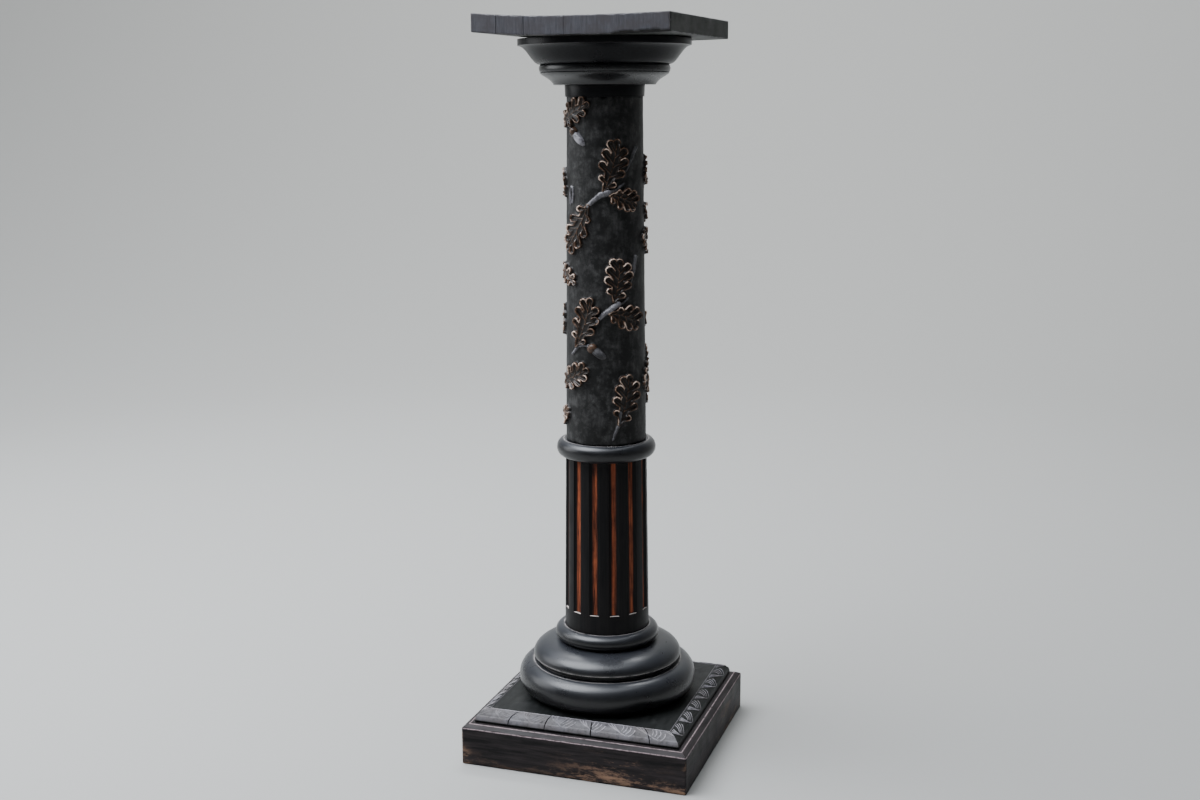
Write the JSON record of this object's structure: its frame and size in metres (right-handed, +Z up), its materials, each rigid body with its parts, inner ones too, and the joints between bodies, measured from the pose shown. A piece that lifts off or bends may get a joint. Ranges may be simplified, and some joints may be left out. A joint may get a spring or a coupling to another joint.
{
  "type": "column pedestal",
  "caption": "Freestanding dark wooden column pedestal: cupped square top board, turned capital, carved upper shaft, fluted lower shaft, turned base and square plinth.",
  "frame": {"origin": "on the floor, in the middle of the plinth's footprint", "axes": "+Z up the column, +X to the right along the plinth's front face, +Y towards its back"},
  "size_m": [0.3506, 0.3432, 1.103],
  "materials": {
    "top_board": "ebonised and waxed, scuffed grey along the end grain",
    "ebonised_turning": "ebonised, satin wax polish",
    "carved_shaft": "ebonised, matt punched ground, carving rubbed to a bronze brown on its edges",
    "fluted_shaft": "ebonised fillets with red-brown flutes",
    "carved_border": "ebonised, worn grey-brown on the carved border",
    "plinth_wood": "ebonised, worn to brown along the edges",
    "raw_wood": "unfinished inside",
    "screw_steel": "dull"
  },
  "bodies": {
    "root": {"top_board": "top_board", "cap_screw_1": "screw_steel", "cap_screw_2": "screw_steel", "cap_screw_3": "screw_steel", "cap_screw_4": "screw_steel", "capital_upper_disc": "ebonised_turning", "capital_lower_disc": "ebonised_turning", "neck_ring": "ebonised_turning", "upper_shaft": "carved_shaft", "middle_collar": "ebonised_turning", "lower_shaft": "fluted_shaft", "base_ring": "ebonised_turning", "base_bell": "ebonised_turning", "base_torus": "ebonised_turning", "base_screw_1": "screw_steel", "base_screw_2": "screw_steel", "base_screw_3": "screw_steel", "base_screw_4": "screw_steel", "plinth_board": "carved_border", "plinth_front": "plinth_wood", "plinth_right": "plinth_wood", "plinth_rear": "plinth_wood", "plinth_left": "plinth_wood", "corner_block_1": "raw_wood", "corner_block_2": "raw_wood", "corner_block_3": "raw_wood", "corner_block_4": "raw_wood", "tenon_wedge": "raw_wood"}
  },
  "joints": []
}
